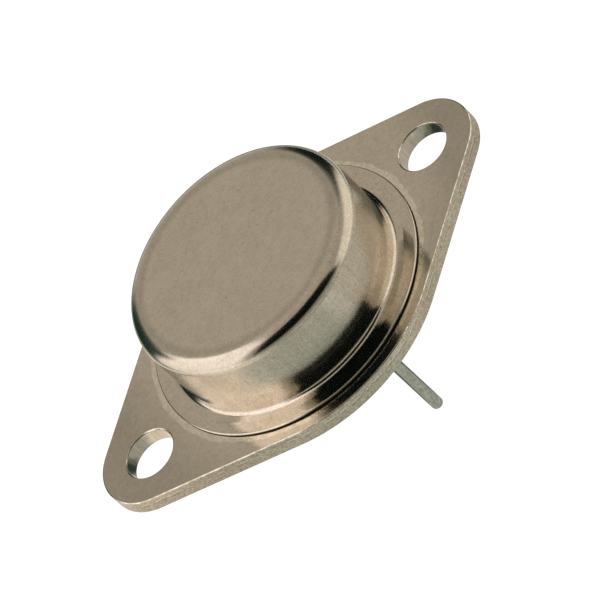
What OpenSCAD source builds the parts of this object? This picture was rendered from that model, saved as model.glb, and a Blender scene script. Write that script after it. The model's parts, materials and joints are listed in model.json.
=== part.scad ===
// Power transistor in a diamond-shaped, two-lead metal case.
// A steel base plate carries the chip on a copper disc, two leads pass through glass seals,
// and a drawn steel cap is welded over them.
// Units are millimetres. The underside of the plate is z = 0, the cap is on +Z,
// and the two mounting holes lie on the X axis.

/* [Base plate] */
// Distance between the centres of the two mounting holes
hole_spacing = 30.15; // [29.8:0.05:31.2]
// Radius of the plate's rounded end, about each mounting hole
plate_end_r = 4.25; // [3.6:0.05:4.8]
// Thickness of the plate
plate_t = 1.4; // [1.2:0.05:2]
// Width of plate left bare outside the cap's flange where the plate is narrowest
plate_margin = 1.12; // [0.6:0.02:1.6]
// Radius of each mounting hole
mount_hole_r = 2.05; // [1.8:0.01:2.2]
// Size of the edge break at both mouths of a mounting hole
hole_edge = 0.08; // [0.03:0.01:0.15]
// Size of the edge break round the plate's underside, left by the punch
under_edge = 0.16; // [0.05:0.01:0.25]
// Size of the edge break round the plate's upper face
upper_edge = 0.06; // [0.03:0.01:0.15]

/* [Cap] */
// Outer radius of the cap's wall
cap_r = 9.77; // [9.3:0.01:10.2]
// Height of the cap above the plate
cap_h = 6.6; // [5.2:0.1:8]
// Outer radius of the corner between the wall and the flat top
cap_corner_r = 1.1; // [0.6:0.05:1.6]
// Thickness of the sheet that the cap is drawn from
sheet_t = 0.28; // [0.24:0.01:0.4]
// Outer radius of the fillet between the wall and the flange
root_r = 0.35; // [0.2:0.01:0.5]
// Width of the flange from the wall to its edge
flange_w = 1.78; // [1.5:0.01:2.2]
// Width of the ledge beside the fillet that the welding ring leaves unpressed
ledge_w = 0.25; // [0.1:0.01:0.4]
// Depth that the welding ring presses the flange down by
press_depth = 0.06; // [0.02:0.01:0.1]
// Rounding of the flange's outer edge
flange_edge_r = 0.08; // [0.03:0.01:0.08]
// Gap between the flange and the plate on both sides of the weld
weld_gap = 0.05; // [0.03:0.01:0.1]
// Width of the weld ring where it meets the plate
weld_w = 0.4; // [0.2:0.05:0.6]

/* [Leads] */
// Radius of a lead
lead_r = 0.485; // [0.43:0.005:0.55]
// Distance between the axes of the two leads
lead_spacing = 10.92; // [10.6:0.02:11.4]
// Distance along X from the line of the leads to the far mounting hole
lead_to_hole = 16.89; // [16.4:0.01:17.4]
// Length of a lead below the plate
lead_l = 12.05; // [7:0.05:12.2]
// Rounding of a lead's tip
tip_r = 0.4; // [0.1:0.01:0.42]
// Height of a lead's flat head above the plate
head_rise = 2.1; // [1.6:0.05:2.6]
// Radius of a lead's flat head
head_r = 0.95; // [0.8:0.05:1.2]
// Thickness of a lead's flat head
head_t = 0.35; // [0.2:0.05:0.5]

/* [Glass seals] */
// Radius of each glass seal
seal_r = 1.75; // [1.4:0.05:2]
// Depth of the seal's edges below the faces of the plate
seal_set_in = 0.1; // [0.05:0.01:0.2]
// Depth of the dish that the glass forms between lead and plate
dish_depth = 0.15; // [0.05:0.01:0.2]

/* [Chip] */
// Radius of the copper disc that spreads the chip's heat
spreader_r = 4.6; // [4.2:0.05:4.8]
// Thickness of the copper disc
spreader_t = 1; // [0.6:0.05:1.4]
// Space between the copper disc and each glass seal
spreader_gap = 0.6; // [0.2:0.05:1]
// Thickness of the braze under the copper disc
braze_t = 0.06; // [0.04:0.01:0.1]
// Side of the square silicon chip
die_w = 5.6; // [4.8:0.05:5.8]
// Thickness of the silicon chip
die_t = 0.35; // [0.2:0.05:0.5]
// Thickness of the solder under the chip
solder_t = 0.06; // [0.04:0.01:0.1]
// Width of the solder that shows round the chip
solder_rim = 0.15; // [0.05:0.01:0.25]

/* [Bond wires] */
// Radius of each source wire
source_wire_r = 0.19; // [0.12:0.01:0.2]
// Distance between the two source wires on the lead's head
source_pitch = 0.75; // [0.6:0.01:0.9]
// Radius of the gate wire
gate_wire_r = 0.1; // [0.06:0.01:0.14]
// Angle at which a wire leaves its pad
loop_angle = 50; // [30:1:65]
// Length of the flattened foot at each end of a wire
foot_l = 0.9; // [0.6:0.05:1.1]
// Distance of a wire's foot from the chip's edge
pad_inset = 1.2; // [0.8:0.05:1.6]

/* [Hidden] */
$fn = 96;
overshoot = 0.1;
half_turn = 180;
// The straight sides of the plate lie this far inside its round ones, so that they cross
side_overlap = 0.001;
// Angle by which neighbouring wedges along the plate's edge run into each other
edge_overlap = 0.2;
// A foot is pressed out to this many wire radii in half width and height
foot_half_width = 1.4;
foot_height = 1.2;

flange_r = cap_r + flange_w;
plate_mid_r = flange_r + plate_margin;
hole_x = hole_spacing / 2;
top_z = plate_t + cap_h;
// Angle from the X axis at which the straight sides touch the round ends and middle
side_angle = acos((plate_mid_r - plate_end_r) / hole_x);

flange_under_z = plate_t + weld_gap;
ledge_z = flange_under_z + sheet_t;
flange_z = ledge_z - press_depth;
inner_r = cap_r - sheet_t;
inner_corner_r = cap_corner_r - sheet_t;
ledge_r = cap_r + root_r + ledge_w;
weld_mid_r = (ledge_r + flange_r) / 2;

lead_x = lead_to_hole - hole_x;
lead_y = lead_spacing / 2;
head_z = plate_t + head_rise;
seal_low_z = seal_set_in;
seal_high_z = plate_t - seal_set_in;

// The copper disc stands beside both seals, as near as its gap allows
spreader_x = lead_x - sqrt(pow(spreader_r + seal_r + spreader_gap, 2) - pow(lead_y, 2));
braze_z = plate_t + braze_t;
spreader_z = braze_z + spreader_t;
solder_z = spreader_z + solder_t;
die_z = solder_z + die_t;
// Feet on the chip, near the edge that faces each lead
pad_x = spreader_x + die_w / 2 - pad_inset;
pad_y = die_w / 2 - pad_inset;

// Outline of the plate: round middle, two round ends and the straight sides that touch them
module plate_outline() {
    side = [cos(side_angle), sin(side_angle)];
    mid = (plate_mid_r - side_overlap) * side;
    end = [hole_x, 0] + (plate_end_r - side_overlap) * side;
    circle(plate_mid_r);
    for (x = [-hole_x, hole_x])
        translate([x, 0])
            circle(plate_end_r);
    polygon([
        mid, [-mid.x, mid.y], [-end.x, end.y], [-end.x, -end.y],
        [-mid.x, -mid.y], [mid.x, -mid.y], [end.x, -end.y], end
    ]);
}

// Section of the wedge that breaks a lower outer edge at distance r
module edge_section(r, size) {
    polygon([
        [r - size - overshoot, -overshoot],
        [r + overshoot, -overshoot],
        [r + overshoot, size + overshoot]
    ]);
}

// Wedge that breaks a round outer edge from one angle to another
module arc_edge(r, size, from, to) {
    rotate([0, 0, from - edge_overlap])
        rotate_extrude(angle = to - from + 2 * edge_overlap)
            edge_section(r, size);
}

// Wedges that break the whole lower edge of the plate
module outline_edge(size) {
    side_l = sqrt(pow(hole_x, 2) - pow(plate_mid_r - plate_end_r, 2));
    for (turn = [0, half_turn])
        rotate([0, 0, turn]) {
            arc_edge(plate_mid_r, size, side_angle, half_turn - side_angle);
            translate([hole_x, 0, 0])
                arc_edge(plate_end_r, size, -side_angle, side_angle);
            for (flip = [0, 1])
                mirror([0, flip, 0])
                    rotate([0, 0, side_angle])
                        rotate([90, 0, 0])
                            linear_extrude(side_l)
                                edge_section(plate_mid_r, size);
        }
}

// Hole through the plate with both mouths broken
module mount_hole() {
    translate([0, 0, -overshoot])
        cylinder(h = plate_t + 2 * overshoot, r = mount_hole_r);
    mouth_r = mount_hole_r + hole_edge + overshoot;
    translate([0, 0, plate_t - hole_edge])
        cylinder(h = hole_edge + overshoot, r1 = mount_hole_r, r2 = mouth_r);
    translate([0, 0, -overshoot])
        cylinder(h = hole_edge + overshoot, r1 = mouth_r, r2 = mount_hole_r);
}

// Punched steel plate with two mounting holes and two seal holes
module base_plate() {
    color("#98907c")
        difference() {
            linear_extrude(plate_t)
                plate_outline();
            outline_edge(under_edge);
            translate([0, 0, plate_t])
                mirror([0, 0, 1])
                    outline_edge(upper_edge);
            for (side = [-1, 1]) {
                translate([side * hole_x, 0, 0])
                    mount_hole();
                translate([lead_x, side * lead_y, -overshoot])
                    cylinder(h = plate_t + 2 * overshoot, r = seal_r);
            }
        }
}

// Outside of the cap and its flange, as a half section
module cap_outside() {
    square([cap_r - cap_corner_r, top_z]);
    square([cap_r, top_z - cap_corner_r]);
    translate([cap_r - cap_corner_r, top_z - cap_corner_r])
        circle(cap_corner_r);
    difference() {
        square([cap_r + root_r, ledge_z + root_r]);
        translate([cap_r + root_r, ledge_z + root_r])
            circle(root_r);
    }
    square([ledge_r, ledge_z]);
    square([flange_r - flange_edge_r, flange_z]);
    square([flange_r, flange_z - flange_edge_r]);
    translate([flange_r - flange_edge_r, flange_z - flange_edge_r])
        circle(flange_edge_r);
}

// Inside of the cap, one sheet thickness within its outside, down to the gap over the plate
module cap_inside() {
    square([inner_r - inner_corner_r, top_z - sheet_t]);
    square([inner_r, top_z - cap_corner_r]);
    translate([inner_r - inner_corner_r, top_z - cap_corner_r])
        circle(inner_corner_r);
    difference() {
        square([cap_r + root_r, ledge_z + root_r]);
        translate([cap_r + root_r, ledge_z + root_r])
            circle(root_r + sheet_t);
    }
    square([flange_r + overshoot, flange_under_z]);
}

// Drawn steel cap with its weld ring
module cap() {
    color("#a39c88")
        rotate_extrude() {
            difference() {
                cap_outside();
                cap_inside();
            }
            translate([weld_mid_r - weld_w / 2, plate_t])
                square([weld_w, weld_gap + overshoot]);
        }
}

// Straight lead with a rounded tip below and a flat head above, on its own axis
module lead() {
    color("#94968b")
        rotate_extrude() {
            translate([0, tip_r - lead_l])
                square([lead_r, head_z + lead_l - tip_r]);
            translate([0, -lead_l])
                square([lead_r - tip_r, 2 * tip_r]);
            intersection() {
                translate([lead_r - tip_r, tip_r - lead_l])
                    circle(tip_r);
                translate([0, -lead_l])
                    square([lead_r, 2 * tip_r]);
            }
            translate([0, head_z - head_t])
                square([head_r, head_t]);
        }
}

// Glass bead between a lead and its hole, dished on both faces
module seal() {
    mid_r = (lead_r + seal_r) / 2;
    half_w = (seal_r - lead_r) / 2;
    dish_r = (pow(half_w, 2) + pow(dish_depth, 2)) / (2 * dish_depth);
    color("#4d5a52")
        rotate_extrude()
            difference() {
                translate([lead_r, seal_low_z])
                    square([seal_r - lead_r, seal_high_z - seal_low_z]);
                translate([mid_r, seal_high_z + dish_r - dish_depth])
                    circle(dish_r);
                translate([mid_r, seal_low_z - dish_r + dish_depth])
                    circle(dish_r);
            }
}

// Braze that joins the copper disc to the plate
module spreader_braze() {
    color("#c9c3b4")
        translate([spreader_x, 0, plate_t])
            cylinder(h = braze_t, r = spreader_r);
}

// Copper disc that carries the chip
module heat_spreader() {
    color("#b87345")
        translate([spreader_x, 0, braze_z])
            cylinder(h = spreader_t, r = spreader_r);
}

// Square block that is centred on the copper disc
module centred_block(width, z, thickness) {
    translate([spreader_x - width / 2, -width / 2, z])
        cube([width, width, thickness]);
}

// Solder that joins the chip to the copper disc
module die_solder() {
    color("#b5b7b8")
        centred_block(die_w + 2 * solder_rim, spreader_z, solder_t);
}

// Silicon chip
module die() {
    color("#5b6069")
        centred_block(die_w, solder_z, die_t);
}

// Flattened foot of a wire, its underside at z = 0 and its length along X
module wire_foot(wire_r) {
    half_w = foot_half_width * wire_r;
    linear_extrude(foot_height * wire_r) {
        for (end = [-1, 1])
            translate([end * (foot_l / 2 - half_w), 0])
                circle(half_w);
        translate([half_w - foot_l / 2, -half_w])
            square([foot_l - 2 * half_w, 2 * half_w]);
    }
}

// Wire that arches from a pad at one point to a pad at another
module bond_wire(from, to, wire_r) {
    span = norm([to.x - from.x, to.y - from.y]);
    rise = to.z - from.z;
    chord = norm([span, rise]);
    tilt = atan2(rise, span);
    loop_r = chord / (2 * sin(loop_angle));
    foot_mid = foot_height * wire_r / 2;
    // The arch runs on below both pads and is cut off inside its feet
    sweep = loop_angle + 2 * asin(wire_r / loop_r);
    color("#c4c7c9")
        translate(from)
            rotate([0, 0, atan2(to.y - from.y, to.x - from.x)]) {
                wire_foot(wire_r);
                translate([span, 0, rise])
                    wire_foot(wire_r);
                difference() {
                    translate([0, 0, foot_mid])
                        rotate([90, -tilt, 0])
                            translate([chord / 2, -loop_r * cos(loop_angle), 0])
                                rotate([0, 0, half_turn / 2 - sweep])
                                    rotate_extrude(angle = 2 * sweep)
                                        translate([loop_r, 0])
                                            circle(wire_r);
                    translate([-span / 2, -span / 2, foot_mid - span])
                        cube([span, span, span]);
                    translate([span / 2, -span / 2, rise + foot_mid - span])
                        cube([span, span, span]);
                }
            }
}

// One of the two heavy wires from the chip's face to the source lead
module source_wire(side) {
    shift = side * source_pitch / 2;
    bond_wire([pad_x + shift, pad_y, die_z], [lead_x + shift, lead_y, head_z], source_wire_r);
}

// Thin wire from the chip's corner to the gate lead
module gate_wire() {
    bond_wire([pad_x, -pad_y, die_z], [lead_x, -lead_y, head_z], gate_wire_r);
}

base_plate();
cap();
translate([lead_x, -lead_y, 0]) lead();  // gate_lead
translate([lead_x, lead_y, 0]) lead();  // source_lead
translate([lead_x, -lead_y, 0]) seal();  // gate_seal
translate([lead_x, lead_y, 0]) seal();  // source_seal
spreader_braze();
heat_spreader();
die_solder();
die();
source_wire(-1);  // source_wire_1
source_wire(1);  // source_wire_2
gate_wire();
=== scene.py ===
# %% [markdown]
# # A power transistor in a metal case
#
# The part is a power transistor in the old two-lead metal case. A diamond-shaped steel plate
# carries the chip, a round cap of thin steel is welded over it, and two leads leave the
# underside through glass beads. All the metal outside is plated.
#
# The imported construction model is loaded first. Its inner pieces stay and get materials. The
# cap, the plate, the leads and the glass are modelled again here, at the same places and sizes,
# because plated metal shows every facet of a coarse mesh in its reflections.

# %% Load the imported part
import json
import math

import bmesh
import bpy
from mathutils import Matrix, Vector


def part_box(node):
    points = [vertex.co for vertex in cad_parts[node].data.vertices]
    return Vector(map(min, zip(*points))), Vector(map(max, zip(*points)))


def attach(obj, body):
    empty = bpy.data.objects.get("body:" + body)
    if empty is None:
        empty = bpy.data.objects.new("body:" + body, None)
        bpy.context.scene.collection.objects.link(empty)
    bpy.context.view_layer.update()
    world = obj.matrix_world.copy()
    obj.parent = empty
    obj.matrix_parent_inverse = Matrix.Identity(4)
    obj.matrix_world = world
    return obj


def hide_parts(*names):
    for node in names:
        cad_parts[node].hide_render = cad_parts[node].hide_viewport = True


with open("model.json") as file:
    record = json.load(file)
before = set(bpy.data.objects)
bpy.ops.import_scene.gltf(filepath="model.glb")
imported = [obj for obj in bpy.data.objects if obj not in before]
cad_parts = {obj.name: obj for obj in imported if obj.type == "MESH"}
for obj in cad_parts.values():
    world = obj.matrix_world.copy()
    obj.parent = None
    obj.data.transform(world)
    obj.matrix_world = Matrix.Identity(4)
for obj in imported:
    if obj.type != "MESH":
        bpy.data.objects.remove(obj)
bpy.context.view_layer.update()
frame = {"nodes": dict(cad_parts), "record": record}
print("nodes:", ", ".join(sorted(frame["nodes"])))

# %% [markdown]
# ## Sizes
#
# Blender works in metres here, and the sizes of such a part are known in millimetres, so each
# one is written in millimetres and multiplied by MM. The places of the holes and leads come
# from the record that travels with the part, so they are never typed twice.

# %% Sizes of the part
MM = 0.001

mounts = {mount["name"]: mount for mount in frame["record"]["mounts"]}
hole_x = mounts["mounting_hole_near"]["pos_m"][0]
hole_r = mounts["mounting_hole_near"]["dims"]["r_mm"] * MM
lead_x, gate_y = mounts["gate_lead_end"]["pos_m"][:2]
lead_r = mounts["gate_lead_end"]["dims"]["r_mm"] * MM
lead_l = mounts["gate_lead_end"]["dims"]["length_mm"] * MM

plate_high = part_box("base_plate")[1]
plate_t = plate_high.z
plate_mid_r = plate_high.y
plate_end_r = plate_high.x - hole_x
print(f"plate {2 * plate_high.x / MM:.2f} x {2 * plate_mid_r / MM:.2f} x {plate_t / MM:.2f} mm")

# %% [markdown]
# ## The camera
#
# The photograph was taken from far away with a long lens, so its far edge is hardly smaller
# than its near one. The camera looks down at 41 degrees and is rolled, which is why the part
# runs across the picture from corner to corner. It is pointed with a track rotation, and then
# rolled about its own line of sight.

# %% Camera
camera_place = Vector((-7.851, -310.748, 269.933)) * MM
camera_aim = Vector((0.708, 0.413, 0)) * MM
camera_roll = math.radians(-47.35)
# Focal length in pixels of the photograph, which is 600 pixels wide
focal_px = 5593.75
picture_px = 600
film_mm = 36
nearest, farthest = 0.01, 20

camera_data = bpy.data.cameras.new("camera")
camera_data.sensor_width = film_mm
camera_data.lens = focal_px / picture_px * film_mm
camera_data.clip_start = nearest
camera_data.clip_end = farthest
camera = bpy.data.objects.new("camera", camera_data)
bpy.context.collection.objects.link(camera)
looking = (camera_aim - camera_place).to_track_quat("-Z", "Y").to_matrix().to_4x4()
camera.matrix_world = (
    Matrix.Translation(camera_place) @ looking @ Matrix.Rotation(camera_roll, 4, "Z")
)
bpy.context.scene.camera = camera
bpy.context.scene.view_settings.view_transform = "Standard"
print(f"lens {camera_data.lens:.1f} mm")

# %% [markdown]
# ## Modelling round pieces
#
# The cap, the leads and the glass beads are all turned shapes. Each one starts as a single
# vertex in the XZ plane. Extruding that vertex draws straight lines, spinning it about a point
# draws arcs, and the finished half section is spun once round its own upright axis. This is
# how a lathe or a drawing tool makes them too, and it gives exact radii.
#
# Where a flat meets an arc, one more ring of vertices lies close beside the joint. It keeps the
# smooth shading of the arc from leaking across the flat.

# %% Half sections
# Points that are closer together than this are merged
same_point = 0.001 * MM
# Edges that bend by less than this are shaded smooth
smooth_angle = math.radians(40)


def clear_selection():
    """Deselect everything, so that the next operator acts on its own piece alone."""
    bpy.ops.object.select_all(action="DESELECT")
    bpy.context.view_layer.objects.active = None


class Section:
    """A half section that is drawn with one moving vertex and then spun."""

    def __init__(self, name, x, z):
        clear_selection()
        bpy.ops.mesh.primitive_plane_add(size=MM)
        self.piece = bpy.context.object
        self.piece.name = self.piece.data.name = name
        bpy.ops.object.mode_set(mode="EDIT")
        bpy.ops.mesh.select_all(action="SELECT")
        bpy.ops.mesh.merge(type="CENTER")
        bpy.ops.transform.translate(value=(x * MM, 0, z * MM))
        self.at = Vector((x, 0, z))

    def line(self, x, z):
        """Draw a straight line to a point, in millimetres."""
        step = Vector((x, 0, z)) - self.at
        bpy.ops.mesh.extrude_vertices_move(TRANSFORM_OT_translate={"value": step * MM})
        self.at += step

    def arc(self, x, z, degrees, steps):
        """Draw an arc about a centre. A positive angle turns from +X towards +Z."""
        centre = Vector((x, 0, z))
        bpy.ops.mesh.spin(
            steps=steps, angle=math.radians(degrees), center=centre * MM, axis=(0, 1, 0)
        )
        self.at = centre + Matrix.Rotation(math.radians(-degrees), 3, "Y") @ (self.at - centre)

    def spin(self, steps, place=(0, 0)):
        """Spin the section right round, close its seam and poles, and put it in its place."""
        bpy.ops.mesh.select_all(action="SELECT")
        bpy.ops.mesh.spin(steps=steps, angle=math.tau, center=(0, 0, 0), axis=(0, 0, 1))
        bpy.ops.mesh.select_all(action="SELECT")
        bpy.ops.mesh.remove_doubles(threshold=same_point)
        bpy.ops.mesh.select_all(action="SELECT")
        bpy.ops.mesh.normals_make_consistent(inside=False)
        bpy.ops.transform.translate(value=(*place, 0))
        bpy.ops.object.mode_set(mode="OBJECT")
        bpy.ops.object.shade_smooth_by_angle(angle=smooth_angle)
        print(self.piece.name, len(self.piece.data.polygons), "faces")
        return self.piece


# %% [markdown]
# ## The cap
#
# A press draws the cap from a flat disc of steel sheet. The sheet keeps nearly the same
# thickness everywhere, bends round a generous corner into the flat top, and turns outwards into
# a flange through a small fillet. The welding ring then presses the outer part of the flange
# down by a few hundredths of a millimetre, and a gentle slope leads down to it from the fillet.
# Below the flange a narrow ring of weld holds the cap to the plate, and the sheet stays just
# clear of the plate on both sides of it. That gap, with shade painted into its mouth, is the
# thin dark line round the flange.
#
# The section is one closed loop, down the outside and back up the inside, so the sheet has its
# real thickness from the start and needs no modifier.

# %% Cap
cap_r = 9.77
cap_top_z = 8.0
cap_corner_r = 1.1
sheet_t = 0.28
fillet_r = 0.35
# Where the gentle slope from the fillet begins, and where it ends on the flange
fillet_end_z = 1.73
pressed_r = 10.45
flange_r = 11.55
flange_z = 1.67
flange_edge_r = 0.08
flange_under_z = 1.45
weld_in_r = 10.76
weld_out_r = 11.16
# Distance of the extra ring beside each joint of a flat and an arc
keep = 0.15

corner_x = cap_r - cap_corner_r
corner_z = cap_top_z - cap_corner_r
fillet_x = cap_r + fillet_r
fillet_z = fillet_end_z + fillet_r
edge_x = flange_r - flange_edge_r

section = Section("cap_shell", 0, cap_top_z)
section.line(corner_x / 2, cap_top_z)
section.line(corner_x - keep, cap_top_z)
section.line(corner_x, cap_top_z)
section.arc(corner_x, corner_z, degrees=-90, steps=16)
section.line(cap_r, corner_z - keep)
section.line(cap_r, fillet_z + keep)
section.line(cap_r, fillet_z)
section.arc(fillet_x, fillet_z, degrees=90, steps=10)
section.line(pressed_r, flange_z)
section.line(pressed_r + keep, flange_z)
section.line(edge_x - keep, flange_z)
section.line(edge_x, flange_z)
section.arc(edge_x, flange_z - flange_edge_r, degrees=-90, steps=5)
section.line(flange_r, flange_under_z)
section.line(weld_out_r, flange_under_z)
section.line(weld_out_r, plate_t / MM)
section.line(weld_in_r, plate_t / MM)
section.line(weld_in_r, flange_under_z)
section.line(fillet_x, flange_under_z)
section.arc(fillet_x, fillet_z, degrees=-90, steps=10)
section.line(cap_r - sheet_t, corner_z)
section.arc(corner_x, corner_z, degrees=90, steps=12)
section.line(0, cap_top_z - sheet_t)
cap_shell = section.spin(steps=240)
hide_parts("cap")
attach(cap_shell, "root")

# %% [markdown]
# ## The leads
#
# A lead is a straight piece of round wire. Its lower end is rounded so that it finds its hole
# in a board or socket, and its upper end is upset into a flat head, like that of a nail, for
# the bond wires to stand on. Both leads are the same, so one function draws both.

# %% Leads
lead_tip_r = 0.4
head_r = 0.95
head_t = 0.35
head_edge = 0.06
head_z = 3.5


def make_lead(name, node, y):
    """Model one lead and let it stand for its construction node."""
    r = lead_r / MM
    low = -lead_l / MM
    pen = Section(name, 0, low)
    pen.line(r - lead_tip_r, low)
    pen.arc(r - lead_tip_r, low + lead_tip_r, degrees=90, steps=10)
    pen.line(r, low + lead_tip_r + keep)
    pen.line(r, low / 2)
    pen.line(r, head_z - head_t)
    pen.line(head_r - head_edge, head_z - head_t)
    pen.line(head_r, head_z - head_t + head_edge)
    pen.line(head_r, head_z - head_edge)
    pen.line(head_r - head_edge, head_z)
    pen.line(0, head_z)
    piece = pen.spin(steps=64, place=(lead_x, y))
    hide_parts(node)
    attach(piece, "root")
    return piece


gate_pin = make_lead("gate_pin", "gate_lead", gate_y)
source_pin = make_lead("source_pin", "source_lead", -gate_y)

# %% [markdown]
# ## The glass beads
#
# The glass is melted round the lead inside its hole and wets both of them, so its face climbs a
# little at the lead and at the plate and is dished between them. The section is a closed loop
# that never touches the axis: two arcs for the dished faces and two straight walls. The radius
# of each arc follows from the width of the glass and the depth of the dish.

# %% Glass beads
glass_r = 1.75
glass_set_in = 0.1
glass_dish = 0.15


def make_bead(name, node, y):
    """Model one glass bead and let it stand for its construction node."""
    inner = lead_r / MM
    low = glass_set_in
    high = plate_t / MM - glass_set_in
    middle = (inner + glass_r) / 2
    half = (glass_r - inner) / 2
    dish_r = (half * half + glass_dish * glass_dish) / (2 * glass_dish)
    swing = 2 * math.degrees(math.asin(half / dish_r))
    pen = Section(name, inner, high)
    pen.arc(middle, high + dish_r - glass_dish, degrees=swing, steps=12)
    pen.line(glass_r, low)
    pen.arc(middle, low - dish_r + glass_dish, degrees=swing, steps=12)
    pen.line(inner, high)
    piece = pen.spin(steps=80, place=(lead_x, y))
    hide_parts(node)
    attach(piece, "root")
    return piece


gate_bead = make_bead("gate_bead", "gate_seal", gate_y)
source_bead = make_bead("source_bead", "source_seal", -gate_y)

# %% [markdown]
# ## The plate
#
# The outline of the plate is a round middle and two smaller round ends, joined by the straight
# lines that touch them. That is exactly the shape of a band stretched round three discs, so
# three discs are added and the convex hull of them all is taken. A limited dissolve then turns
# the hull's triangles back into whole faces.

# %% Plate outline
clear_selection()
bpy.ops.mesh.primitive_cylinder_add(
    vertices=360, radius=plate_mid_r, depth=plate_t, location=(0, 0, plate_t / 2)
)
plate_body = bpy.context.object
plate_body.name = plate_body.data.name = "plate_body"
bpy.ops.object.transform_apply(location=True)
bpy.ops.object.mode_set(mode="EDIT")
for x in (-hole_x, hole_x):
    bpy.ops.mesh.primitive_cylinder_add(
        vertices=180, radius=plate_end_r, depth=plate_t, location=(x, 0, plate_t / 2)
    )
bpy.ops.mesh.select_all(action="SELECT")
bpy.ops.mesh.convex_hull()
bpy.ops.mesh.select_all(action="SELECT")
bpy.ops.mesh.dissolve_limited(angle_limit=math.radians(0.2))
bpy.ops.object.mode_set(mode="OBJECT")
print("plate outline:", len(plate_body.data.vertices) // 2, "points")

# %% [markdown]
# The plate has two holes for screws and two for the glass. Each one is cut by a plain cylinder
# with a Boolean modifier, which is then applied. The cutters stand proud of both faces, because
# a cut whose end lies in a face of the plate is not well defined.

# %% Plate holes
mounting_holes = [(x, 0, hole_r) for x in (-hole_x, hole_x)]
glass_holes = [(lead_x, y, glass_r * MM) for y in (gate_y, -gate_y)]
holes = mounting_holes + glass_holes
for x, y, radius in holes:
    clear_selection()
    bpy.ops.mesh.primitive_cylinder_add(
        vertices=128, radius=radius, depth=3 * plate_t, location=(x, y, plate_t / 2)
    )
    cutter = bpy.context.object
    cut = plate_body.modifiers.new("hole", "BOOLEAN")
    cut.operation = "DIFFERENCE"
    cut.solver = "EXACT"
    cut.object = cutter
    bpy.context.view_layer.objects.active = plate_body
    bpy.ops.object.modifier_apply(modifier=cut.name)
    bpy.data.objects.remove(cutter)
print("plate after the holes:", len(plate_body.data.polygons), "faces")

# %% [markdown]
# A punch cuts the real plate out of strip. It rounds the edge that it enters and breaks out
# with a small burr that tumbling takes off, so both outer edges and both mouths of each
# mounting hole get a narrow bevel.
#
# The edges are found by their place. An edge belongs to a hole when both of its ends lie at
# the hole's radius, and to the outline when both lie away from every hole.

# %% Round the edges of the plate
upper_edge = 0.1 * MM
lower_edge = 0.16 * MM
mouth_edge = 0.14 * MM
# How close to a wall or height a point must lie to belong to it
near = 0.01 * MM


def hole_gap(point, hole):
    """Distance of a point from the wall of a hole."""
    x, y, radius = hole
    return math.hypot(point.x - x, point.y - y) - radius


def on_outline(point):
    """True for a point of the plate that lies on no hole's wall."""
    return all(hole_gap(point, hole) > near for hole in holes)


def on_mounting_hole(point):
    """True for a point on the wall of a mounting hole."""
    return any(abs(hole_gap(point, hole)) < near for hole in mounting_holes)


def select_edges(piece, height, wanted):
    """Select the edges at one height, in edit mode, whose two ends both pass a test."""
    mesh = bmesh.from_edit_mesh(piece.data)
    bpy.ops.mesh.select_mode(type="EDGE")
    for edge in mesh.edges:
        ends = [vertex.co for vertex in edge.verts]
        edge.select_set(all(wanted(end) and abs(end.z - height) < near for end in ends))
    bmesh.update_edit_mesh(piece.data)
    return sum(edge.select for edge in mesh.edges)


clear_selection()
bpy.context.view_layer.objects.active = plate_body
bpy.ops.object.mode_set(mode="EDIT")
for height, wanted, size in (
    (plate_t, on_outline, upper_edge),
    (plate_t, on_mounting_hole, mouth_edge),
    (0, on_outline, lower_edge),
    (0, on_mounting_hole, mouth_edge),
):
    bpy.ops.mesh.select_all(action="DESELECT")
    found = select_edges(plate_body, height, wanted)
    bpy.ops.mesh.bevel(offset=size, segments=3, affect="EDGES", clamp_overlap=False)
    print(f"{found} edges at {height / MM:.1f} mm, bevelled by {size / MM:.2f} mm")

# %% [markdown]
# A bevel can leave points that nearly coincide, so they are merged, and the normals are worked
# out again. Smooth shading would bend the reflections on the two broad flats near their edges.
# The Weighted Normal modifier lets the largest face at each point decide, and keeps them flat.

# %% Smooth the plate
bpy.ops.mesh.select_all(action="SELECT")
bpy.ops.mesh.remove_doubles(threshold=same_point / 2)
bpy.ops.mesh.select_all(action="SELECT")
bpy.ops.mesh.normals_make_consistent(inside=False)
bpy.ops.object.mode_set(mode="OBJECT")
plate_body.select_set(True)
bpy.ops.object.shade_smooth_by_angle(angle=smooth_angle)
weighted = plate_body.modifiers.new("flat faces stay flat", "WEIGHTED_NORMAL")
weighted.keep_sharp = True
bpy.ops.object.modifier_apply(modifier=weighted.name)
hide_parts("base_plate")
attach(plate_body, "root")
print("plate:", len(plate_body.data.polygons), "faces")

# %% [markdown]
# ## Colours
#
# A picture editor shows colours on a scale that is stretched for the eye, and a shader reckons
# with the light itself. Each colour is therefore written as an editor shows it, from 0 to 255,
# and turned into the shader's linear one.

# %% Colours
def srgb(red, green, blue):
    """A colour as a picture editor shows it, as the shader's linear one."""
    def linear(value):
        value /= 255
        return value / 12.92 if value <= 0.04045 else ((value + 0.055) / 1.055) ** 2.4
    return (linear(red), linear(green), linear(blue), 1)


print(f"a grey of 128 is {srgb(128, 128, 128)[0]:.3f} in light")

# %% [markdown]
# ## Shader maths
#
# A signal is one output of a shader node. With the arithmetic operators defined on it, a mask
# such as 1 - ring * 0.5 is written as it would be on paper, and each operator adds the Math
# node that does it.

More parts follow.
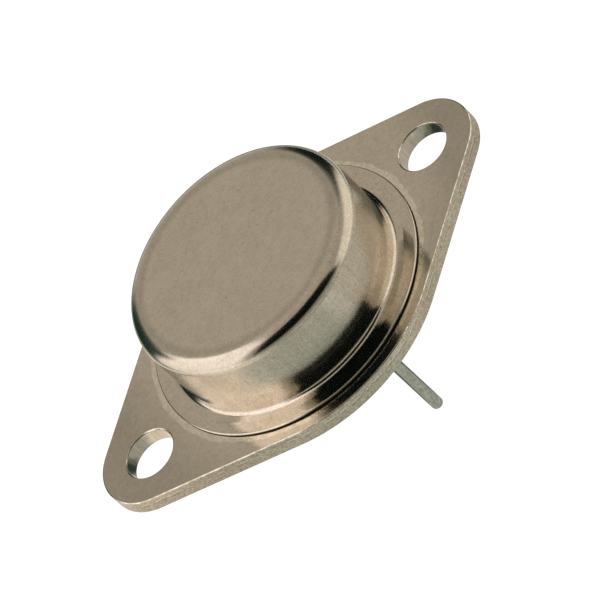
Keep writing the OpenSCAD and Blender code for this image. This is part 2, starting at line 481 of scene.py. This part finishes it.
# %% Signals
class Signal:
    """An output of a shader node that can be used in sums."""

    def __init__(self, finish, socket):
        self.finish = finish
        self.socket = socket

    def maths(self, operation, *values):
        """Add a Math node."""
        sockets = dict(enumerate(values))
        return self.finish.node("ShaderNodeMath", {"operation": operation}, sockets)

    def __add__(self, other):
        return self.maths("ADD", self, other)

    def __sub__(self, other):
        return self.maths("SUBTRACT", self, other)

    def __rsub__(self, other):
        return self.maths("SUBTRACT", other, self)

    def __mul__(self, other):
        return self.maths("MULTIPLY", self, other)

    def __truediv__(self, other):
        return self.maths("DIVIDE", self, other)

    def __pow__(self, other):
        return self.maths("POWER", self, other)

    def __abs__(self):
        return self.maths("ABSOLUTE", self)

    __radd__ = __add__
    __rmul__ = __mul__

    def above(self, low, high):
        """A soft step from 0 at low to 1 at high, which may lie below it."""
        sockets = {"Value": self, "From Min": low, "From Max": high}
        return self.finish.node(
            "ShaderNodeMapRange", {"interpolation_type": "SMOOTHSTEP"}, sockets, "Result"
        )

    def band(self, low, high, soft):
        """1 between low and high, and 0 outside, with soft sides."""
        return self.above(low - soft, low + soft) * (1 - self.above(high - soft, high + soft))


print("signals know + - * / **, abs, above and band")

# %% [markdown]
# A finish is a material with the few calls that build its nodes. One of them adds a node of any
# type, and the others are short names for what every finish here uses: noise, a mix of two
# colours, the distance from the axis, and bump. All of them start from Object coordinates,
# which are the real place of each point in metres, so a grain keeps its real size.

# %% Finishes
class Finish:
    """A material, and the calls that build its nodes."""

    def __init__(self, name):
        self.material = bpy.data.materials.new(name)
        self.material.use_nodes = True
        self.tree = self.material.node_tree
        self.shader = self.tree.nodes["Principled BSDF"]
        self.place = self.node("ShaderNodeTexCoord", output="Object")
        split = self.node("ShaderNodeSeparateXYZ", sockets={"Vector": self.place}).socket.node
        self.x, self.y, self.z = (Signal(self, output) for output in split.outputs)

    def feed(self, node, sockets):
        """Link signals to a node's sockets and write plain values into them."""
        for key, value in sockets.items():
            if isinstance(value, Signal):
                self.tree.links.new(value.socket, node.inputs[key])
            else:
                node.inputs[key].default_value = value

    def node(self, kind, settings=None, sockets=None, output=0):
        """Add a node of any type and return one of its outputs as a signal."""
        made = self.tree.nodes.new(kind)
        for key, value in (settings or {}).items():
            setattr(made, key, value)
        self.feed(made, sockets or {})
        return Signal(self, made.outputs[output])

    def surface(self, **sockets):
        """Feed the surface shader, which finishes the material."""
        self.feed(self.shader, {key.replace("_", " "): sockets[key] for key in sockets})
        print(self.material.name, len(self.tree.nodes), "nodes")

    def noise(self, per_mm, detail=2, stretch=(1, 1, 1), roughness=0.5):
        """Smooth noise from 0 to 1, with a number of features to the millimetre."""
        mapped = self.node(
            "ShaderNodeVectorMath",
            {"operation": "MULTIPLY"},
            {0: self.place, 1: [per_mm / MM * factor for factor in stretch]},
        )
        sockets = {"Vector": mapped, "Scale": 1, "Detail": detail, "Roughness": roughness}
        return self.node("ShaderNodeTexNoise", {}, sockets, "Fac")

    def mix(self, factor, first, second):
        """A colour between two others."""
        # A Mix node has sockets for every type: colours are inputs 6 and 7, and output 2
        sockets = {0: factor, 6: first, 7: second}
        return self.node("ShaderNodeMix", {"data_type": "RGBA"}, sockets, output=2)

    def radius(self):
        """Distance from the cap's axis."""
        return (self.x ** 2 + self.y ** 2) ** 0.5

    def bump(self, height, depth):
        """A normal for a surface whose height runs from 0 to 1 over a depth in millimetres."""
        sockets = {"Height": height, "Distance": depth * MM, "Strength": 1}
        return self.node("ShaderNodeBump", {}, sockets, "Normal")


def wear(piece, finish):
    """Give a piece its finish."""
    piece.data.materials.clear()
    piece.data.materials.append(finish.material)
    print(piece.name, "wears", finish.material.name)


print("finishes know noise, mix, radius and bump")

# %% [markdown]
# ## Nickel plate on the cap
#
# The press and the plating bath leave three kinds of surface on the cap. The flat top is satin
# with a very fine grain. The stretched corner, the wall and the fillet are bright, with a
# slightly rough skin like that of an orange where the sheet was bent most, and faint lines
# along the wall where it slid over the die. The pressed flange is between the two.
#
# On a turned piece the distance from the axis tells these places apart. Each mask here is 1 on
# one of them and fades out over the next. Only the painted shade in the mouth of the gap below
# the flange needs the height as well.

# %% Places on the cap
cap_finish = Finish("cap_nickel")
out = cap_finish.radius()
on_top = 1 - out.above(8.5 * MM, 9.6 * MM)
shoulder = out.above(8.0 * MM, 9.3 * MM)
# A faint ring of painted shade where the top falls towards its corner
shade_ring = out.band(8.1 * MM, 8.7 * MM, soft=0.3 * MM)
on_rim = out.above(8.8 * MM, 9.3 * MM) * (1 - out.above(9.6 * MM, 9.75 * MM))
on_wall = out.above(9.6 * MM, 9.75 * MM) * (1 - out.above(9.8 * MM, 9.95 * MM))
on_upper_wall = on_wall * cap_finish.z.above(3.2 * MM, 4.5 * MM)
on_flange = out.above(10.0 * MM, 10.3 * MM)
# Painted shade in the mouth of the gap below the flange
painted_gap_shade = out.above(11.49 * MM, 11.53 * MM) * (1 - cap_finish.z.above(1.52 * MM, 1.58 * MM))
print("cap places:", len(cap_finish.tree.nodes), "nodes")

# %% [markdown]
# Noise of several sizes makes the plating: fine grain, mottle and broad clouds for the colour,
# and a skin for the bump. Handling has left a few faint scuffs, and dark specks on the top. The
# top isn't quite flat either: it falls by about a tenth of a millimetre towards its corner. The
# bump carries that, so the cap keeps the exact shape of its section, and a faint ring of painted
# shade darkens the colour along the fall.

# %% Cap finish
nickel_dark = srgb(182, 175, 160)
nickel_light = srgb(232, 222, 206)
# Colour of the painted shade in the gap below the flange
gap_shade_dark = srgb(48, 46, 40)

scuffs = cap_finish.noise(per_mm=2.6, detail=4).above(0.64, 0.72)
specks = cap_finish.noise(per_mm=3.5, detail=1).above(0.72, 0.76) * on_top
grain = cap_finish.noise(per_mm=7, detail=3, roughness=0.6)
mottle = cap_finish.noise(per_mm=2.2, detail=2)
clouds = cap_finish.noise(per_mm=0.4, detail=2)
draw_lines = cap_finish.noise(per_mm=5, detail=3, stretch=(1, 1, 0.03))
skin = cap_finish.noise(per_mm=2.2, detail=3)
# The tone is darker along the fall of the top, which is painted shade
tone = (
    (grain - 0.5) * 1.15 + (mottle - 0.5) * 0.5 + (clouds - 0.5) * 0.25
    + (draw_lines + grain - 1) * on_wall * 0.5 - on_rim * 0.25
    - shade_ring * 0.35 - scuffs * 0.3 - specks * 0.5 + 0.5
)
nickel = cap_finish.mix(tone, nickel_dark, nickel_light)
height = (
    skin * (on_wall * 0.6 + 0.5) + grain * (1 - on_flange - on_rim * 0.6)
    + draw_lines * on_wall * 0.3 - shoulder * 30
)
cap_finish.surface(
    Metallic=1.0,
    # The gap below the flange gets painted shade in its colour
    Base_Color=cap_finish.mix(painted_gap_shade, nickel, gap_shade_dark),
    Roughness=on_top * 0.13 + on_upper_wall * 0.15 + on_rim * 0.04 - on_flange * 0.02
    + painted_gap_shade * 0.4 + grain * 0.03 + 0.09,
    Normal=cap_finish.bump(height, depth=0.004),
)
wear(cap_shell, cap_finish)

# %% [markdown]
# ## Nickel plate on the plate
#
# The faces of the plate are satin. Just outside the flange, the heat and pressure of the weld
# left a slightly rougher ring with a ragged edge, whose lighter colour is partly its own and
# partly a painted highlight. The two ends and the front are darker, and a knock has left a small
# rough dent at the front edge.
#
# The darker parts need their own pair of colours. If a mask simply lowered the tone, the tone
# would leave the range of the mix and the grain would vanish there.

# %% Faces of the plate
darker_part_dark = srgb(161, 155, 141)
darker_part_light = srgb(206, 197, 183)
# Partly the weld ring's own colour and partly a painted highlight
weld_flash_and_sheen_light = srgb(250, 243, 228)

plate_finish = Finish("plate_nickel")
grain = plate_finish.noise(per_mm=7, detail=3, roughness=0.6)
mottle = plate_finish.noise(per_mm=2.2, detail=2)
clouds = plate_finish.noise(per_mm=0.4, detail=3)
speckle = plate_finish.noise(per_mm=4, detail=2).above(0.4, 0.6)
wave = plate_finish.noise(per_mm=0.6, detail=2)
ragged = plate_finish.noise(per_mm=1.3, detail=3)

out = plate_finish.radius() + ((wave - 0.5) * 0.5 + (ragged - 0.5) * 0.35) * MM
on_upper_side = plate_finish.z.above(plate_t * 0.6, plate_t * 0.9)
# The weld ring: rough flash, with a lighter colour that is partly a painted highlight
weld_flash_and_sheen = out.band(11.3 * MM, 12.05 * MM, soft=0.07 * MM) * on_upper_side
at_front_edge = 1 - plate_finish.y.above(-12.35 * MM, -12.15 * MM)
dent = plate_finish.x.band(3.3 * MM, 4.1 * MM, soft=0.15 * MM) * at_front_edge
# The two ends and the front of the plate are darker
ends = ((plate_finish.x - 1.5 * MM) ** 2).above((11 * MM) ** 2, (17 * MM) ** 2)
front = (plate_finish.x - plate_finish.y).above(14 * MM, 21 * MM)

tone = (grain - 0.5) * 0.9 + (mottle - 0.5) * 0.5 + (clouds - 0.5) * 0.4 + 0.5
clean = plate_finish.mix(tone, nickel_dark, nickel_light)
darker_part = plate_finish.mix(tone, darker_part_dark, darker_part_light)
plain = plate_finish.mix(ends + front * 0.8 - dent * 2, clean, darker_part)
plate_finish.surface(
    Metallic=1.0,
    Base_Color=plate_finish.mix(weld_flash_and_sheen * (speckle * 0.35 + 0.3), plain, weld_flash_and_sheen_light),
    Roughness=grain * 0.04 + dent * 0.4 + 0.08,
    Normal=plate_finish.bump(grain * 0.6 + mottle * 0.4 + weld_flash_and_sheen * speckle, depth=0.003),
)

# %% [markdown]
# The punch sheared the sides of the plate. Its first bite left a smoother band along the top,
# and below it the metal tore away. Between the two runs a wavy crest, painted lighter as a
# highlight, and a hollow, painted darker as shade. Plating only softens that. All of it follows
# the height, so the height is bent by slow noise and then cut into bands. Towards both ends the
# sides are painted darker as shade.

# %% Sheared sides
side_dark, side_light = srgb(170, 160, 144), srgb(238, 228, 211)
# Colours of the sides towards their ends, which are painted shade
shade_side_dark, shade_side_light = srgb(144, 135, 121), srgb(212, 202, 187)

side_finish = Finish("sheared_side")
tear = side_finish.noise(per_mm=6, detail=4, roughness=0.6)
drag = side_finish.noise(per_mm=5, detail=2, stretch=(1, 1, 0.1))
wave = side_finish.noise(per_mm=0.9, detail=3, stretch=(1, 1, 0))
broken = side_finish.noise(per_mm=1.2, detail=3, stretch=(1, 1, 0.2)).above(0.4, 0.6)

height = side_finish.z / MM - wave * 0.5
sheared = height.above(0.7, 0.76)
torn = 1 - sheared
# A crest, painted lighter as a highlight
crest_highlight = height.band(0.62, 0.74, soft=0.03) * broken
# A hollow, painted darker as shade
hollow_shade = height.band(0.5, 0.6, soft=0.05) * broken
# Towards both ends the sides are painted darker, as shade
left_end_shade = 1 - side_finish.x.above(-14 * MM, -5 * MM)
right_end_shade = side_finish.x.above(12 * MM, 18 * MM)

# The crest is a painted highlight and the hollow painted shade
tone = tear.above(0.2, 0.8) + crest_highlight * 0.6 - hollow_shade * 0.4
metal = side_finish.mix(tone, side_dark, side_light)
shade_side = side_finish.mix(tone, shade_side_dark, shade_side_light)
side_finish.surface(
    Metallic=1.0,
    # The ends of the sides get the colours of painted shade
    Base_Color=side_finish.mix(left_end_shade + right_end_shade * 0.7, metal, shade_side),
    Roughness=torn * 0.1 + tear * 0.1 + 0.22,
    Normal=side_finish.bump(tear * torn + drag * 0.2 + sheared * 0.8, depth=0.05),
)

# %% [markdown]
# The narrow rounding along the upper edge is rubbed bright, with small nicks, and it is chipped
# where the dent is. The walls of the holes were burnished by their punch, so they are smoother
# than the sides, with fine lines along its stroke.

# %% Edges and hole walls
edge_dark, edge_light = srgb(184, 178, 164), srgb(242, 236, 224)

edge_finish = Finish("rubbed_edge")
nicks = edge_finish.noise(per_mm=2.5, detail=4)
chips = edge_finish.noise(per_mm=6, detail=2)
on_front = 1 - edge_finish.y.above(0, 1 * MM)
dent = edge_finish.x.band(3.4 * MM, 4.1 * MM, soft=0.15 * MM) * on_front
edge_finish.surface(
    Metallic=1.0,
    Base_Color=edge_finish.mix(nicks.above(0.35, 0.65), edge_dark, edge_light),
    Roughness=nicks * 0.15 + 0.1,
    Normal=edge_finish.bump(nicks + dent * chips * 9, depth=0.02),
)

bore_dark, bore_light = srgb(196, 187, 174), srgb(218, 209, 196)

bore_finish = Finish("burnished_hole")
drag = bore_finish.noise(per_mm=4, detail=3, stretch=(1, 1, 0.1))
bore_finish.surface(
    Metallic=1.0,
    Base_Color=bore_finish.mix(drag.above(0.25, 0.75), bore_dark, bore_light),
    Roughness=drag * 0.12 + 0.14,
    Normal=bore_finish.bump(drag, depth=0.01),
)

# %% [markdown]
# Four finishes share the plate, so its faces are sorted into four material slots. A face is
# known by its place and by how far its normal leans from upright: the broad faces hardly lean,
# the rounding along the upper edge leans, and everything else is a side or the wall of a hole.

# %% Sort the faces of the plate
plate_finishes = (plate_finish, side_finish, edge_finish, bore_finish)
FACE, SIDE, EDGE, BORE = range(len(plate_finishes))
# Least upward share of the normal on the broad faces and on the rounding
flat_upright = 0.95
edge_upright = 0.1
# How far from a hole's wall its faces may lie, which takes in the bevel of its mouth
wall_reach = 0.2 * MM

for finish in plate_finishes:
    plate_body.data.materials.append(finish.material)


def kind_of(face):
    """The material slot for one face of the plate."""
    centre = face.calc_center_median()
    upright = abs(face.normal.z)
    if upright > flat_upright:
        return FACE
    if upright > edge_upright and centre.z > plate_t / 2:
        return EDGE
    return BORE if any(hole_gap(centre, hole) < wall_reach for hole in holes) else SIDE


clear_selection()
bpy.context.view_layer.objects.active = plate_body
bpy.ops.object.mode_set(mode="EDIT")
bpy.ops.mesh.select_mode(type="FACE")
for index, slot in enumerate(plate_body.material_slots):
    bpy.ops.mesh.select_all(action="DESELECT")
    mesh = bmesh.from_edit_mesh(plate_body.data)
    for face in mesh.faces:
        face.select_set(kind_of(face) == index)
    bmesh.update_edit_mesh(plate_body.data)
    plate_body.active_material_index = index
    bpy.ops.object.material_slot_assign()
    print(slot.name, sum(face.select for face in mesh.faces), "faces")
bpy.ops.object.mode_set(mode="OBJECT")

# %% [markdown]
# ## Leads and glass
#
# The leads are dull plated wire with faint lines along them from the drawing die. The glass is
# dark grey-green and glossy, and a few swirls and bubbles show where it melted. Noise that is
# stretched along the wire makes the lines, and the tops of fine noise make the bubbles.

# %% Lead and glass finishes
wire_dark, wire_light = srgb(170, 173, 160), srgb(226, 226, 214)

lead_finish = Finish("lead_plating")
grain = lead_finish.noise(per_mm=6, detail=3, stretch=(1, 1, 0.5))
streak = lead_finish.noise(per_mm=3, detail=2, stretch=(1, 1, 0.1))
tone = grain.above(0.25, 0.75) * 0.8 + streak * 0.2
lead_finish.surface(
    Metallic=1.0,
    Base_Color=lead_finish.mix(tone, wire_dark, wire_light),
    Roughness=grain * 0.12 + 0.14,
    Normal=lead_finish.bump(grain, depth=0.008),
)
wear(gate_pin, lead_finish)
wear(source_pin, lead_finish)

glass_dark, glass_light = srgb(46, 60, 54), srgb(84, 98, 88)

glass_finish = Finish("bead_glass")
swirl = glass_finish.noise(per_mm=2, detail=3)
bubbles = glass_finish.noise(per_mm=7, detail=0).above(0.66, 0.74)
tone = swirl.above(0.3, 0.7) + bubbles * 0.5
glass_finish.surface(
    Metallic=0.0,
    Base_Color=glass_finish.mix(tone, glass_dark, glass_light),
    Roughness=swirl * 0.06 + 0.07,
    Normal=glass_finish.bump(bubbles * -0.6 + swirl * 0.4, depth=0.01),
)
wear(gate_bead, glass_finish)
wear(source_bead, glass_finish)

# %% [markdown]
# ## What the cap hides
#
# The inner pieces keep their construction meshes and only get finishes. The copper disc was
# brazed in a furnace, so it is bright with faint darker clouds and the lines of its turning.
# The braze and the solder froze in small grains: soft noise is enough for the braze, and the
# cells of a Voronoi texture suit the coarser solder.

# %% Copper, braze and solder
def dress(finish, *names):
    """Give construction nodes a finish without touching their meshes."""
    for name in names:
        for slot in frame["nodes"][name].material_slots:
            slot.material = finish.material
        print(name, "wears", finish.material.name)


copper_bright, copper_cloud = srgb(226, 168, 138), srgb(192, 122, 92)

copper_finish = Finish("spreader_copper")
clouds = copper_finish.noise(per_mm=0.9, detail=4)
turning = copper_finish.noise(per_mm=6, detail=2, stretch=(1, 0.08, 1))
copper_finish.surface(
    Metallic=1.0,
    Base_Color=copper_finish.mix(clouds.above(0.35, 0.7), copper_bright, copper_cloud),
    Roughness=clouds * 0.15 + turning * 0.08 + 0.2,
    Normal=copper_finish.bump(turning, depth=0.006),
)
dress(copper_finish, "heat_spreader")

braze_dark, braze_light = srgb(206, 199, 184), srgb(232, 227, 216)

braze_finish = Finish("silver_braze")
grains = braze_finish.noise(per_mm=3, detail=4)
braze_finish.surface(
    Metallic=1.0,
    Base_Color=braze_finish.mix(grains.above(0.3, 0.7), braze_dark, braze_light),
    Roughness=grains * 0.2 + 0.2,
    Normal=braze_finish.bump(grains, depth=0.01),
)
dress(braze_finish, "spreader_braze")

solder_grain, solder_seam = srgb(196, 198, 200), srgb(166, 168, 172)
solder_per_mm = 4

solder_finish = Finish("frozen_solder")
sockets = {"Vector": solder_finish.place, "Scale": solder_per_mm / MM}
grains = solder_finish.node("ShaderNodeTexVoronoi", {}, sockets, "Distance")
solder_finish.surface(
    Metallic=1.0,
    Base_Color=solder_finish.mix(grains, solder_grain, solder_seam),
    Roughness=grains * 0.2 + 0.26,
    Normal=solder_finish.bump(grains, depth=0.008),
)
dress(solder_finish, "die_solder")

# %% [markdown]
# The chip has a light metal face with its source cells in fine rows, a gate line across the
# middle and a dark rim, and its sawn sides are bare silicon. Masks from the chip's own box keep
# the rim and the line in their places, and a sine wave draws the rows.

# %% Chip
die_low, die_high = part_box("die")
die_middle = (die_low + die_high) / 2
die_half = (die_high - die_low) / 2
die_rim = 0.25 * MM
cell_pitch = 0.06 * MM
silicon_dark, silicon_light = srgb(58, 60, 72), srgb(84, 88, 104)
metal_dark, metal_light = srgb(196, 197, 196), srgb(224, 225, 222)

die_finish = Finish("chip")
across = abs(die_finish.x - die_middle.x)
along = abs(die_finish.y - die_middle.y)
inside = (1 - across.above(die_half.x - die_rim, die_half.x - die_rim * 0.9)) * (
    1 - along.above(die_half.y - die_rim, die_half.y - die_rim * 0.9)
)
on_face = die_finish.z.above(die_high.z - 0.03 * MM, die_high.z - 0.01 * MM)
gate_line = 1 - along.above(0.04 * MM, 0.06 * MM)
rows = die_finish.x * (math.tau / cell_pitch)
cells = rows.maths("SINE", rows) * 0.5 + 0.5
metal = on_face * inside * (1 - gate_line)
stain = die_finish.noise(per_mm=1.5, detail=3)
silicon = die_finish.mix(stain, silicon_dark, silicon_light)
aluminium = die_finish.mix(cells * 0.5 + stain * 0.5, metal_dark, metal_light)
die_finish.surface(
    Metallic=metal,
    Base_Color=die_finish.mix(metal, silicon, aluminium),
    Roughness=stain * 0.1 + metal * 0.1 + 0.16,
    Normal=die_finish.bump(cells * metal, depth=0.002),
)
dress(die_finish, "die")

# %% [markdown]
# The bond wires are drawn aluminium, as soft as it comes: nearly white, satin, and without the
# hard lines of the leads.

# %% Bond wires
bond_dark, bond_light = srgb(214, 215, 214), srgb(234, 235, 233)

bond_finish = Finish("drawn_wire")
grain = bond_finish.noise(per_mm=8, detail=3)
bond_finish.surface(
    Metallic=1.0,
    Base_Color=bond_finish.mix(grain.above(0.3, 0.7), bond_dark, bond_light),
    Roughness=grain * 0.12 + 0.2,
    Normal=bond_finish.bump(grain, depth=0.003),
)
dress(bond_finish, "source_wire_1", "source_wire_2", "gate_wire")

# %% [markdown]
# ## The studio
#
# Bright metal has no look of its own: it shows what stands round it. Such parts are therefore
# photographed inside a tent of plain grey cloth, which fills their surfaces with one calm tone.
# Here the tent is a large glowing ball, with upright cards in it for the lamps and for whatever
# is dark, and flat cards and white paper on the floor.
#
# The paint of tent, cards and floor comes from a few plain shaders: one that glows, one that is
# clear, and a mix of two. It is a finish as well, so it borrows the calls of the others.

# %% Studio shaders
class Paint(Finish):
    """A material of the studio, which is built from plain shaders."""

    def glow(self, colour, strength=1):
        """A surface that shines by itself, where 1 is white."""
        sockets = {"Color": (*colour, 1), "Strength": strength}
        return self.node("ShaderNodeEmission", {}, sockets)

    def clear(self):
        """A surface that can't be seen."""
        return self.node("ShaderNodeBsdfTransparent")

    def blend(self, factor, first, second):
        """The first shader where the factor is 0, and the second where it is 1."""
        return self.node("ShaderNodeMixShader", {}, {0: factor, 1: first, 2: second})

    def cover(self, piece, shader):
        """Make a shader the whole surface of a piece."""
        self.tree.nodes.remove(self.shader)
        self.feed(self.tree.nodes["Material Output"], {"Surface": shader})
        piece.data.materials.append(self.material)


print("a studio paint glows, is clear, or blends the two")

# %% [markdown]
# The ball is round, so that the metal shows no corner of it, and large enough for the camera and
# all cards to stand inside. Its paint is one even glow in the colour of the cloth. The camera
# doesn't see it, and looks past it at a plain white world.

# %% Tent
world = bpy.data.worlds.new("studio")
bpy.context.scene.world = world
world.use_nodes = True
world.node_tree.nodes["Background"].inputs["Color"].default_value = (1, 1, 1, 1)
world.node_tree.nodes["Background"].inputs["Strength"].default_value = 1.0

tent_r = 0.7
cloth_grey = (0.515, 0.47, 0.405)

clear_selection()
bpy.ops.mesh.primitive_uv_sphere_add(segments=48, ring_count=24, radius=tent_r)
tent = bpy.context.object
tent.name = "tent"
tent.visible_camera = False
cloth = Paint("tent_cloth")
cloth.cover(tent, cloth.glow(cloth_grey))
print(f"{tent.name} {2 * tent_r:.1f} m across")

# %% [markdown]
# ### Lamps and dark cards
#
# Two broad soft lamps stand left and right of the part. They give the bright patches on the rim
# of the cap, and of all the cards only they light matt surfaces. The camera and whoever stands
# behind it are dark, which makes the black band on the cap, its flange and the plate. Below that
# dark card stands a low grey one. Beside each lamp the cloth has a dark gap, and above the gap
# on the right it is dimmed, so the ends of the rim turn dark too.
#
# Each of them is an upright card that glows evenly, or not at all, and fades out at its sides,
# as a cloth lit from behind does. All cards are hidden from the camera and cast no shadow, so
# they never block a view. Where one stands behind another, the nearer one covers it.

# %% Lamps and dark cards
def standing(azimuth, distance, height):
    """The place of an upright card that faces the part, in degrees from +X towards +Y."""
    angle = math.radians(azimuth)
    place = Vector((math.cos(angle), math.sin(angle), 0)) * distance * MM
    turn = (-place).to_track_quat("-Z", "Y").to_matrix().to_4x4()
    place.z = height * MM
    return Matrix.Translation(place) @ turn


def add_card(name, place, width, height, colour, soft, lights=False):
    """Add a card that glows evenly with one colour and fades out at its sides."""
    clear_selection()
    bpy.ops.mesh.primitive_plane_add(size=2)
    card = bpy.context.object
    card.name = name
    card.matrix_world = place @ Matrix.Diagonal((width * MM / 2, height * MM / 2, 1, 1))
    card.visible_camera = card.visible_shadow = False
    card.visible_diffuse = lights
    paint = Paint(name)
    # Object coordinates run from -1 to 1 across a card
    solid = abs(paint.x).above(1, 1 - soft[0]) * abs(paint.y).above(1, 1 - soft[1])
    paint.cover(card, paint.blend(solid, paint.clear(), paint.glow(colour)))
    print(name, f"{width} x {height} mm")


# Name, direction, distance, lowest and highest point, width, colour, the faded shares of half
# the width and half the height, and whether it lights matt surfaces
for name, azimuth, distance, low, high, width, colour, soft, lights in (
    ("lamp_left", 168, 120, -90, 420, 262, (1.5, 1.38, 1.34), (0.35, 0.55), True),
    ("lamp_right", -4, 170, -170, 196, 335, (1.15, 1.06, 0.95), (0.5, 0.56), True),
    ("dark_card", -92.5, 150, 28, 470, 338, (0, 0.004, 0.004), (0.08, 0.2), False),
    ("gap_right", 53.5, 300, -130, 310, 215, (0, 0.006, 0.006), (0.4, 0.5), False),
    ("gap_above", 44, 160, 100, 178, 96, (0.16, 0.17, 0.14), (0.6, 0.6), False),
    ("gap_left", 124, 100, -30, 84, 74, (0.01, 0.035, 0.028), (0.45, 0.36), False),
    ("low_front_card", -92.5, 140, -12, 42, 325, (0.27, 0.29, 0.24), (0.05, 0.6), False),
):
    place = standing(azimuth, distance, (low + high) / 2)
    add_card(name, place, width, high - low, colour, soft, lights)

# %% [markdown]
# ### The floor
#
# The upright walls of the part show the floor. White paper lies under it, with grey card behind
# the part. Grey cards before it are the painted shadow of the camera and whoever stands behind
# it, a warm card towards the left lamp is a painted sheen of its light, and dark cards beneath
# the plate and the lead are painted shade and shadow. The small cards near the part lie a little
# higher than the large ones, so they cover them.

# %% Floor cards
floor_z = -lead_l - 0.02 * MM
# Name, place, width, depth, height above the floor, colour, and the faded shares
for name, x, y, width, depth, lift, colour, soft in (
    # A painted sheen of the left lamp's light on the floor
    ("lamp_sheen_floor_card", -50, -10, 80, 120, 0.1, (0.98, 0.89, 0.76), (0.1, 0.2)),
    ("right_floor_card", 50, -10, 80, 120, 0.1, (0.59, 0.565, 0.49), (0.1, 0.2)),
    # Before the part, painted shadow of the camera and whoever stands behind it
    ("far_front_shadow_card", 0, -92, 200, 95, 0.1, (0.28, 0.3, 0.25), (0.2, 0.1)),
    ("back_floor_card", 0, 130, 260, 210, 0.1, (0.33, 0.35, 0.31), (0.3, 0.1)),
    ("front_shadow_card", -9.2, -33.2, 50, 53.5, 0.2, (0.467, 0.49, 0.432), (0.4, 0.24)),
    # Painted shade and shadow of the plate on the floor beneath it
    ("plate_shade_card", 0, -5, 46, 24, 0.25, (0.46, 0.47, 0.42), (0.2, 0.3)),
    ("plate_shadow_card", 1, 8, 30, 22, 0.3, (0.03, 0.05, 0.04), (0.5, 0.5)),
    # Painted shadow of the lead on the floor
    ("lead_shadow_card", 1.8, -1.9, 22, 7, 0.4, (0.16, 0.19, 0.16), (0.3, 0.2)),
):
    place = Matrix.Translation((x * MM, y * MM, floor_z + lift * MM))
    add_card(name, place, width, depth, colour, soft)

# %% [markdown]
# The paper is one large sheet. A share of its white comes from Light Path, for the camera, for
# glossy and for transmitted rays alike, and the rest is lit, which keeps the part's shadow. Its
# back is clear, so the underside of the part can be looked at through it.

# %% Floor paper
floor_size = 6
paper_white = (0.9, 0.9, 0.9, 1)
glow_share = 0.75
glow_strength = 1.25

clear_selection()
bpy.ops.mesh.primitive_plane_add(size=floor_size, location=(0, 0, floor_z))
floor = bpy.context.object
floor.name = "floor"
paper = Paint("floor_paper")
seen = paper.node("ShaderNodeLightPath", output="Is Camera Ray")
for kind in ("Is Glossy Ray", "Is Transmission Ray"):
    seen = seen.maths("MAXIMUM", seen, paper.node("ShaderNodeLightPath", output=kind))
lit = paper.node("ShaderNodeBsdfDiffuse", {}, {"Color": paper_white})
front = paper.blend(seen * glow_share, lit, paper.glow((1, 1, 1), glow_strength))
from_below = paper.node("ShaderNodeNewGeometry", output="Backfacing")
paper.cover(floor, paper.blend(from_below, front, paper.clear()))
print(f"{floor.name} {floor_size} m wide at {floor_z / MM:.2f} mm")
